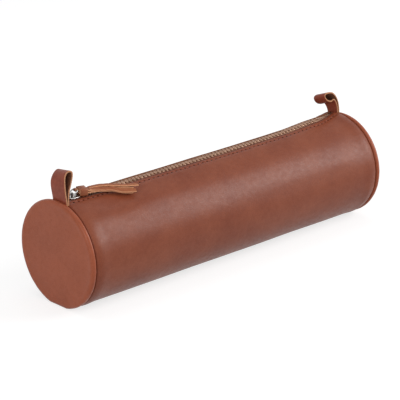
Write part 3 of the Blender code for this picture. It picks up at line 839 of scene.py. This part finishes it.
def make_disc(side, name, node):
    """A leather end: a slightly uneven face, a rolled rim and the edge that goes into the seam."""
    profile = [(RIM_WIDTH - back * MM, depth * MM) for back, depth in DISC_RIM]
    profile += [(inset * MM, depth * MM) for inset, depth in DISC_FACE]
    profile += [(DISC_INSET, depth) for depth in steps(*DISC_RINGS)]
    rings, spots = [], []
    for inset, depth in profile:
        ring, spot = [], []
        for index in range(DISC_SIDES):
            angle = math.tau * index / DISC_SIDES
            sin, cos = math.sin(angle), math.cos(angle)
            radius = RADIUS - depth
            uneven = noise.noise(Vector((side * 7, 45 * radius * sin, 45 * radius * cos)))
            pucker = noise.noise(Vector((side * 5, 10 * sin, 10 * cos)))
            height = inset + DISC_UNEVEN * uneven * smoothstep(*DISC_UNEVEN_DEPTH, depth)
            height += DISC_PUCKER * pucker * smoothstep(*DISC_PUCKER_DEPTH, depth)
            if cos < 0:
                radius = min(radius, (AXIS_HEIGHT - depth) / -cos)
            ring.append((side * (HALF_LENGTH - height), radius * sin, AXIS_HEIGHT + radius * cos))
            flat = radius if depth > DISC_FOLD_DEPTH else radius + inset
            spot.append((flat * sin, flat * cos))
        rings.append(ring)
        spots.append(spot)
    surface = new_surface()
    add_loft(surface, rings, spots=spots)
    # The disc's leather is painted lighter than the body's: painted light on the ends
    place(add_mesh(name, surface, (leather_material(name, DISC_LIT_COLOUR, DISC_LIT_DARK),), 70), "case", node)


def make_stitches():
    """A row of stitches along each side of the zip, with a dark hole between each two."""
    materials = (thread_material("stitch_thread", THREAD_COLOUR), hole_material("stitch_hole"))
    for name, side, left, right in zip_rows(-SEAM_X, SEAM_X):
        surface = new_surface()
        first = math.ceil(max(left, STITCH_END - SEAM_X) / STITCH_PITCH)
        last = math.floor(min(right, SEAM_X - STITCH_END) / STITCH_PITCH)
        for index in range(first, last):
            add_stitch(surface, (index + 0.5) * STITCH_PITCH, side)
            add_hole(surface, index * STITCH_PITCH, side)
        item = add_mesh(f"stitches_{name}", surface, materials, 80)
        follow_zip(item, name)


def stitch_directions(x, side):
    """Where round the case a row of stitches runs, and outward and sideways there."""
    angle = zip_angle(x) + side * (edge_angle(x) + STITCH_INSET / RADIUS)
    sin, cos = math.sin(angle), math.cos(angle)
    return angle, Vector((0, sin, cos)), Vector((0, cos, -sin))


def add_stitch(surface, middle, side):
    """One stitch: a short thread that dips into the leather at both ends."""
    rings = []
    for index in range(STITCH_STATIONS + 1):
        x = middle + (index / STITCH_STATIONS - 0.5) * STITCH_LENGTH
        angle, outward, sideways = stitch_directions(x, side)
        rise = math.sin(math.pi * index / STITCH_STATIONS)
        radius = STITCH_RADIUS * (0.45 + 0.55 * rise)
        centre = case_point(x, angle, STITCH_SINK - STITCH_RISE * rise)
        rings.append(circle(centre, radius * sideways, radius * outward, 8))
    add_loft(surface, rings)


def add_hole(surface, x, side):
    """A dark dimple where the needle went in."""
    angle, outward, sideways = stitch_directions(x, side)
    centre = case_point(x, angle)
    arms = Vector((HOLE_LENGTH, 0, 0)), HOLE_RADIUS * sideways
    rings = [
        circle(centre + height * MM * outward, width * arms[0], width * arms[1], 10)
        for height, width in HOLE_LEVELS
    ]
    add_loft(surface, rings, slot=1)


def zip_point(x, across, height):
    """A point of the zip: across is from its middle line, and height is over the case's axis."""
    sin, cos = math.sin(zip_angle(x)), math.cos(zip_angle(x))
    height += zip_rise(x)
    return Vector((x, across * cos + height * sin, AXIS_HEIGHT + height * cos - across * sin))


def make_tapes():
    """The woven tapes: they rise to the teeth, and run under the leather."""
    material = tape_material("zip_tape")
    unders = steps(TAPE_UNDER / RADIUS, TAPE_END_ANGLE - EDGE_ANGLE, TAPE_ANGLE_STATION)
    inner = SEAM_X - LEATHER
    for name, side, left, right in zip_rows(-inner, inner):
        xs = steps(left, right, TAPE_STATION)
        upper, lower, spots = [], [], []
        run = TAPE_PROFILE[0][0] * MM
        for index, (across, height) in enumerate(TAPE_PROFILE):
            run += TAPE_RUN * MM if index else 0
            for grid, half in ((upper, TAPE / 2), (lower, -TAPE / 2)):
                grid.append([zip_point(x, side * across * MM, height * MM + half) for x in xs])
            spots.append([(x, run) for x in xs])
        for inset in unders:
            angles = [zip_angle(x) + side * (edge_angle(x) + inset) for x in xs]
            for grid, under in ((upper, TAPE_GAP), (lower, TAPE_GAP + TAPE)):
                grid.append(
                    [case_point(x, turn, leather_depth(x, turn, side) + under) for x, turn in zip(xs, angles)]
                )
            spots.append([(x, run + inset * RADIUS) for x in xs])
        surface = new_surface()
        add_sheet(surface, upper, lower, spots, (0, 0, 0))
        item = add_mesh(f"tape_{name}", surface, (material,), 60)
        follow_zip(item, name)
        stand_for(f"zip_tape_{name.split('_')[0]}")


def add_tooth(surface, x, side):
    """One tooth: it clasps the tape's cord and ends in a rounded head over the middle."""
    low, high = TOOTH_HEIGHTS
    rings = []
    for across, width, tall in TOOTH_PROFILE:
        ring = []
        for turn in range(8):
            angle = math.tau * (turn + 0.5) / 8
            sin, cos = math.sin(angle), math.cos(angle)
            reach = 0.95 / max(abs(cos), abs(sin)) ** 0.55
            rise = (high - low) / 2 * MM * tall * reach * sin
            middle = (low + high) / 2 * MM
            along = x + TOOTH_WIDTH / 2 * width * reach * cos
            ring.append(zip_point(along, side * across * MM, middle + rise))
        rings.append(ring)
    add_loft(surface, rings)


def make_teeth():
    """Two rows of teeth that mesh, each in its own half of the zip."""
    material = metal_material("zip_teeth", TEETH_COLOUR, 0.38, 0.35)
    count = int((CHAIN_HIGH.x - CHAIN_LOW.x) / TOOTH_PITCH)
    for name, side, left, right in zip_rows(CHAIN_LOW.x, CHAIN_HIGH.x):
        surface = new_surface()
        start = CHAIN_LOW.x + TOOTH_WIDTH / 2 + (TOOTH_PITCH / 2 if side > 0 else 0)
        for index in range(count):
            if left <= start + index * TOOTH_PITCH < right:
                add_tooth(surface, start + index * TOOTH_PITCH, side)
        item = add_mesh(f"teeth_{name}", surface, (material,), 40)
        follow_zip(item, name)
        stand_for(f"zip_teeth_{name.split('_')[0]}")


def through(points, per_span=5):
    """A smooth line through the points."""
    ends = [2 * points[0] - points[1], *points, 2 * points[-1] - points[-2]]
    line = []
    for index in range(len(points) - 1):
        before, start, end, after = ends[index : index + 4]
        for step in range(per_span):
            share = step / per_span
            bend = (2 * before - 5 * start + 4 * end - after) * share**2
            bend += (3 * start - before - 3 * end + after) * share**3
            line.append(0.5 * (2 * start + (end - before) * share + bend))
    line.append(points[-1].copy())
    return line


def across_columns(width):
    """Places across a strap and the share of its thickness there: its long edges are rounded."""
    inner = steps(EDGE_COLUMNS[-1], width - EDGE_COLUMNS[-1], STRAP_COLUMN)[1:-1]
    places = list(EDGE_COLUMNS) + inner + [width - place_at for place_at in reversed(EDGE_COLUMNS)]
    shares = list(EDGE_THICKNESS) + [1.0] * len(inner) + list(reversed(EDGE_THICKNESS))
    return [(place_at / width, share) for place_at, share in zip(places, shares)]


def add_strap(surface, first, last, thickness, slots=(0, 1, 2)):
    """A strap between the middle lines of its two long edges, with raw edges.

    Its thickness is one value, or one for each pair of points.
    """
    thickness = thickness if isinstance(thickness, list) else [thickness] * len(first)
    width = max((a - b).length for a, b in zip(first, last))
    columns = across_columns(width)
    upper, lower, spots = [], [], []
    run = 0.0
    for index, (near, far) in enumerate(zip(first, last)):
        before, after = max(index - 1, 0), min(index + 1, len(first) - 1)
        if index:
            run += ((near + far) / 2 - (first[index - 1] + last[index - 1]) / 2).length
        for grid in (upper, lower, spots):
            grid.append([])
        for share, thick in columns:
            middle = near.lerp(far, share)
            along = first[after].lerp(last[after], share) - first[before].lerp(last[before], share)
            normal = (far - near).cross(along).normalized() * thickness[index] / 2 * thick
            upper[-1].append(middle + normal)
            lower[-1].append(middle - normal)
            spots[-1].append((run, share * width))
    last_column = len(columns) - 2
    add_sheet(surface, upper, lower, spots, slots, lambda row, column: column in (0, last_column))


def add_pad(surface, outline, base, levels):
    """A block with rounded edges: its levels are heights over its base and how far it is drawn in."""
    middle = sum((Vector(point) for point in outline), Vector((0, 0))) / len(outline)
    rings = []
    for height, inset in levels:
        ring = []
        for point in outline:
            arm = Vector(point) - middle
            moved = middle + arm * max(1 - inset * MM / arm.length, 0.05)
            ring.append((moved.x, moved.y, base + height * MM))
        rings.append(ring)
    add_loft(surface, rings)


def rounded_outline(left, right, half_left, half_right, middle_y=0.0, roundness=0.55, count=40):
    """Points round a block seen from above, whose half width changes from its left to its right end."""
    points = []
    for index in range(count):
        cos, sin = math.cos(math.tau * index / count), math.sin(math.tau * index / count)
        x = (left + right) / 2 + (right - left) / 2 * math.copysign(abs(cos) ** roundness, cos)
        half = half_left + (half_right - half_left) * (x - left) / (right - left)
        points.append((x, middle_y + half * math.copysign(abs(sin) ** roundness, sin)))
    return points


def right_far_profile():
    """The far edge of the right loop: lower than the near one, and a little further in."""
    far = []
    for x, height in RIGHT_NEAR:
        rise = smoothstep(*RIGHT_SHIFT_HEIGHTS, height)
        drop = RIGHT_BASE_DROP * (1 - rise)
        far.append((x + RIGHT_SHIFT[0] * rise, height + RIGHT_SHIFT[1] * rise - drop))
    return far


def make_loop(side, node, near, far):
    """A strap folded into a loop, its two ends sewn into the seam."""
    lines = []
    edges = ((near, LOOP_NEAR_Y[side], -LOOP_BASE_SPREAD[side]), (far, LOOP_FAR_Y[side], 0))
    for profile, y, spread in edges:
        spots = []
        for x, height in profile:
            low = smoothstep(*LOOP_BASE, height)
            height -= LOOP_BASE_SINK * low
            spots.append(Vector((x * MM, y + spread * low, AXIS_HEIGHT + height * MM)))
        lines.append(through(spots))
    surface = new_surface()
    add_strap(surface, *lines, LOOP_LEATHER, (2, 1, 0) if side == "left" else (0, 1, 2))
    materials = (
        leather_material(f"{side}_loop_leather", LOOP_COLOUR, LOOP_DARK, 0.4, 0.4),
        raw_material(f"{side}_loop_edge", RAW_EDGE, RAW_EDGE_DARK),
        raw_material(f"{side}_loop_inside", SUEDE, SUEDE_DARK),
    )
    item = add_mesh(f"{side}_loop", surface, materials, 50)
    low, high = [Vector((PIVOTS[f"{side}_loop_fold"].x, 0, AXIS_HEIGHT + height)) for height in LOOP_BEND]
    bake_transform(item)
    stand_for(node)


def make_slider(material):
    """Slider: two plates with drawn-in edges, side walls, the post and a bent bridge."""
    surface = new_surface()
    left, right, low = SLIDER_LOW.x, SLIDER_HIGH.x, SLIDER_LOW.z
    half = SLIDER_HIGH.y
    pivot = PIVOTS["pull_ring_swing"]
    top = pivot.z - WIRE_RADIUS - WIRE_GAP
    outline = rounded_outline(left, right, half, half * NOSE_SHARE)
    add_pad(surface, outline, top, TOP_PLATE)
    add_pad(surface, outline, low, BOTTOM_PLATE)
    for side in (-1, 1):
        ends = (left + RAIL_END, right - RAIL_END, RAIL_HALF, RAIL_HALF)
        add_pad(surface, rounded_outline(*ends, side * (half - RAIL_INSET), 0.35, 24), top, RAIL)
    post = rounded_outline(left + POST_X[0], left + POST_X[1], *POST_HALF, 0.0, 0.9, 20)
    add_pad(surface, post, low, ((0.4, 0), ((top - low) / MM - 0.3, 0)))
    reach = BRIDGE_HALF_LENGTH - BRIDGE_METAL / 2
    edges = [
        through([Vector((pivot.x + share * reach, y, top + height * MM)) for share, height in BRIDGE_ARCH], 3)
        for y in (-BRIDGE_HALF_WIDTH, BRIDGE_HALF_WIDTH)
    ]
    add_strap(surface, *edges, BRIDGE_METAL, (0, 0, 0))
    place(add_mesh("slider", surface, (material,), 38), "slider", "slider_body")


def make_ring(material):
    """The wire ring through the bridge: a rounded rectangle."""
    pivot = PIVOTS["pull_ring_swing"]
    reach = PIVOTS["tassel_swing"] - pivot
    along = reach.normalized()
    across = Vector((0, 1, 0))
    half = (RING_HIGH.y - RING_LOW.y) / 2 - WIRE_RADIUS - RING_CORNER
    near, far = RING_CORNER, reach.length - RING_CORNER
    path, normals = [], []
    for quarter, (forward, sideways) in enumerate(((near, -half), (far, -half), (far, half), (near, half))):
        for step in range(7):
            angle = math.pi + math.pi / 2 * (quarter + step / 6)
            normals.append(math.cos(angle) * along + math.sin(angle) * across)
            path.append(pivot + forward * along + sideways * across + RING_CORNER * normals[-1])
    rings = []
    for index, (spot, outward) in enumerate(zip(path, normals)):
        side = (path[(index + 1) % len(path)] - path[index - 1]).normalized().cross(outward).normalized()
        rings.append(circle(spot, WIRE_RADIUS * outward, WIRE_RADIUS * side, 12))
    surface = new_surface()
    add_loft(surface, rings, closed=True)
    place(add_mesh("ring", surface, (material,), 60), "pull", "pull_ring")


def make_stops(material):
    """The small clips that stop the slider, pressed round the teeth's cords."""
    for node, name in (("top_stop_front", "front"), ("top_stop_back", "back_left"), ("bottom_stop", "front")):
        low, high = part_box(node)
        half = (high.y - low.y) / 2
        x = (low.x + high.x) / 2
        middle = (low.y + high.y) / 2 + RADIUS * zip_angle(x)
        tall = (high.z - low.z) / MM
        outline = rounded_outline(low.x, high.x, half, half, middle, 0.45, 28)
        levels = ((0, 0.2), (0.2, 0), (tall - 0.25, 0), (tall - 0.07, 0.12), (tall, 0.35))
        surface = new_surface()
        add_pad(surface, outline, low.z + zip_rise(x) - STOP_DROP, levels)
        item = add_mesh(f"clip_{node}", surface, (material,), 40)
        follow_zip(item, name)
        stand_for(node)


def tassel_spot(along, across, height):
    """A point of the tassel by its distance from the ring and its sideways place."""
    heading = TASSEL_HEADING * smoothstep(0, HEADING_LENGTH, along)
    spot = PIVOTS["tassel_swing"] + along * Vector((math.cos(TASSEL_HEADING), math.sin(TASSEL_HEADING), 0))
    spot += across * Vector((-math.sin(heading), math.cos(heading), 0))
    spot.z = height
    return spot


def case_top(x, y):
    """Height of the case's leather at this place."""
    angle = math.asin(min(max(y / RADIUS, -1), 1))
    return AXIS_HEIGHT + outer_radius(x, angle) * math.cos(angle)


def make_tassel():
    """The strip folded through the ring, its four strands and the band round it."""
    materials = (
        leather_material("tassel_leather", TASSEL_COLOUR, TASSEL_DARK, 0.5, 0.35),
        raw_material("tassel_edge", TASSEL_EDGE, TASSEL_EDGE_DARK),
    )
    surface = new_surface()
    add_fold(surface)
    for strand in STRANDS:
        add_strand(surface, strand)
    place(add_mesh("tassel", surface, materials, 50), "tassel", "tassel_strip")
    surface = new_surface()
    add_band(surface)
    materials = (
        leather_material("band_leather", BAND_COLOUR, BAND_DARK, 0.5, 0.35),
        raw_material("band_edge", RAW_EDGE, RAW_EDGE_DARK),
    )
    place(add_mesh("band", surface, materials, 50), "tassel", "tassel_band")


def add_fold(surface):
    """The end of the strip that goes round the ring: narrow there, and full width in the band."""
    pivot = PIVOTS["tassel_swing"]
    places = [(along * MM, -1, None) for along in FOLD_STATIONS]
    places += [(0.0, 0, -math.pi / 2 - math.pi * turn / 6) for turn in range(1, 6)]
    places += [(along * MM, 1, None) for along in reversed(FOLD_STATIONS)]
    first, last, thickness = [], [], []
    for along, up, turn in places:
        widened = smoothstep(*TAB_X, along)
        thickness.append(TAB + (STRIP - TAB) * widened)
        half = TAB_HALF + (STRIP_HALF - TAB_HALF) * widened
        if turn is None:
            height = pivot.z + up * FOLD_RADIUS
            height += (BAND_MIDDLE + up * LAYER_RISE - height) * smoothstep(0, FOLD_CLOSED, along)
            shift = Vector((0, 0, 0))
        else:
            height = pivot.z
            shift = Vector((FOLD_RADIUS * math.cos(turn), 0, FOLD_RADIUS * math.sin(turn)))
        for line, side in ((first, -1), (last, 1)):
            line.append(tassel_spot(along, side * half, height) + shift)
    add_strap(surface, first, last, thickness, (0, 1, 0))


def add_strand(surface, strand):
    """One strand: a narrow strap from the band to its tip, lying over the case."""
    first, last = [], []
    for along, across, rise, roll in through([Vector(values) for values in strand]):
        middle = tassel_spot(along * MM, across * MM, 0)
        middle.z = case_top(middle.x, middle.y) + rise * MM
        heading = Vector((-math.sin(TASSEL_HEADING), math.cos(TASSEL_HEADING), 0))
        lean = math.radians(roll)
        sideways = heading * math.cos(lean) + Vector((0, 0, math.sin(lean)))
        first.append(middle - STRAND_HALF * sideways)
        last.append(middle + STRAND_HALF * sideways)
    add_strap(surface, first, last, STRIP, (0, 1, 0))


def add_band(surface):
    """The narrow band wound round both layers of the strip."""
    levels = (
        (BAND_WALL * 0.7, BAND_START),
        (BAND_WALL, BAND_START + BAND_EDGE),
        (BAND_WALL * 1.08, (BAND_START + BAND_END) / 2),
        (BAND_WALL, BAND_END - BAND_EDGE),
        (BAND_WALL * 0.7, BAND_END),
        (0, BAND_END),
        (0, BAND_START),
    )
    rings = []
    for wall, along in levels:
        corner = BAND_CORNER + wall
        half_width = STRIP_HALF + BAND_SIDE_GAP + wall - corner
        half_height = BAND_RISE - BAND_WALL + wall - corner
        ring = []
        for turn, (side, up) in enumerate(((1, -1), (1, 1), (-1, 1), (-1, -1))):
            for step in range(5):
                angle = (turn - 1) * math.pi / 2 + step * math.pi / 8
                across = side * half_width + corner * math.cos(angle)
                rise = up * half_height + corner * math.sin(angle)
                ring.append(tassel_spot(along, across, BAND_MIDDLE + rise))
        rings.append(ring)
    add_loft(surface, rings, closed=True, ring_slots=(1, 0, 0, 1, 1, 0, 1))


def add_lamps():
    """A large soft light in front on the right, a fill on the left and one over the top."""
    for name, spot, size, power in LAMPS:
        data = bpy.data.lights.new(name, "AREA")
        data.shape = "DISK"
        data.size = size
        data.energy = power
        item = add_item(name, data)
        item.location = spot
        point_along(item, Vector((0, 0, AXIS_HEIGHT)) - Vector(spot))


def add_world():
    """White where it is seen, and a weaker even light on the object."""
    world = bpy.data.worlds.new("studio")
    bpy.context.scene.world = world
    world.use_nodes = True
    world.node_tree.nodes.clear()
    shader = Shader(world.node_tree)
    light = shader.add("ShaderNodeBackground", Color=WHITE, Strength=WORLD_STRENGTH)
    white = shader.add("ShaderNodeBackground", Color=WHITE, Strength=1.0)
    shader.show("ShaderNodeOutputWorld", light.outputs[0], white.outputs[0])


def add_floor():
    """A pale floor that the camera sees as white, with the case's soft shadow on it."""
    surface = new_surface()
    corners = [(x * FLOOR_HALF, y * FLOOR_HALF) for x, y in ((-1, -1), (1, -1), (1, 1), (-1, 1))]
    add_face(surface, [(surface.verts.new((x, y, 0)), (x, y)) for x, y in corners])
    material = bpy.data.materials.new("floor")
    material.use_nodes = True
    material.node_tree.nodes.clear()
    shader = Shader(material.node_tree)
    plain = shader.add("ShaderNodeBsdfDiffuse", Color=FLOOR_COLOUR)
    dim = shader.add("ShaderNodeBsdfDiffuse", Color=FLOOR_SEEN)
    glow = shader.add("ShaderNodeEmission", Color=WHITE, Strength=FLOOR_GLOW)
    both = shader.tree.nodes.new("ShaderNodeAddShader")
    shader.put(both.inputs[0], dim.outputs[0])
    shader.put(both.inputs[1], glow.outputs[0])
    shader.show("ShaderNodeOutputMaterial", plain.outputs[0], both.outputs[0])
    add_mesh("floor", surface, (material,))


def build():
    """The camera, the pieces and the studio."""
    bpy.context.scene.view_settings.view_transform = "Standard"
    add_camera()
    make_case_leather()
    make_disc(-1, "disc_left", "left_end_disc")
    make_disc(1, "disc_right", "right_end_disc")
    make_stitches()
    make_tapes()
    make_teeth()
    nickel = metal_material("nickel", NICKEL_COLOUR, 0.22, 0.12)
    make_slider(nickel)
    make_ring(nickel)
    make_stops(metal_material("stops", TEETH_COLOUR, 0.35, 0.25))
    make_tassel()
    make_loop("left", "left_end_loop", LEFT_NEAR, LEFT_FAR)
    make_loop("right", "right_end_loop", RIGHT_NEAR, right_far_profile())
    add_world()
    add_floor()
    add_lamps()


build()
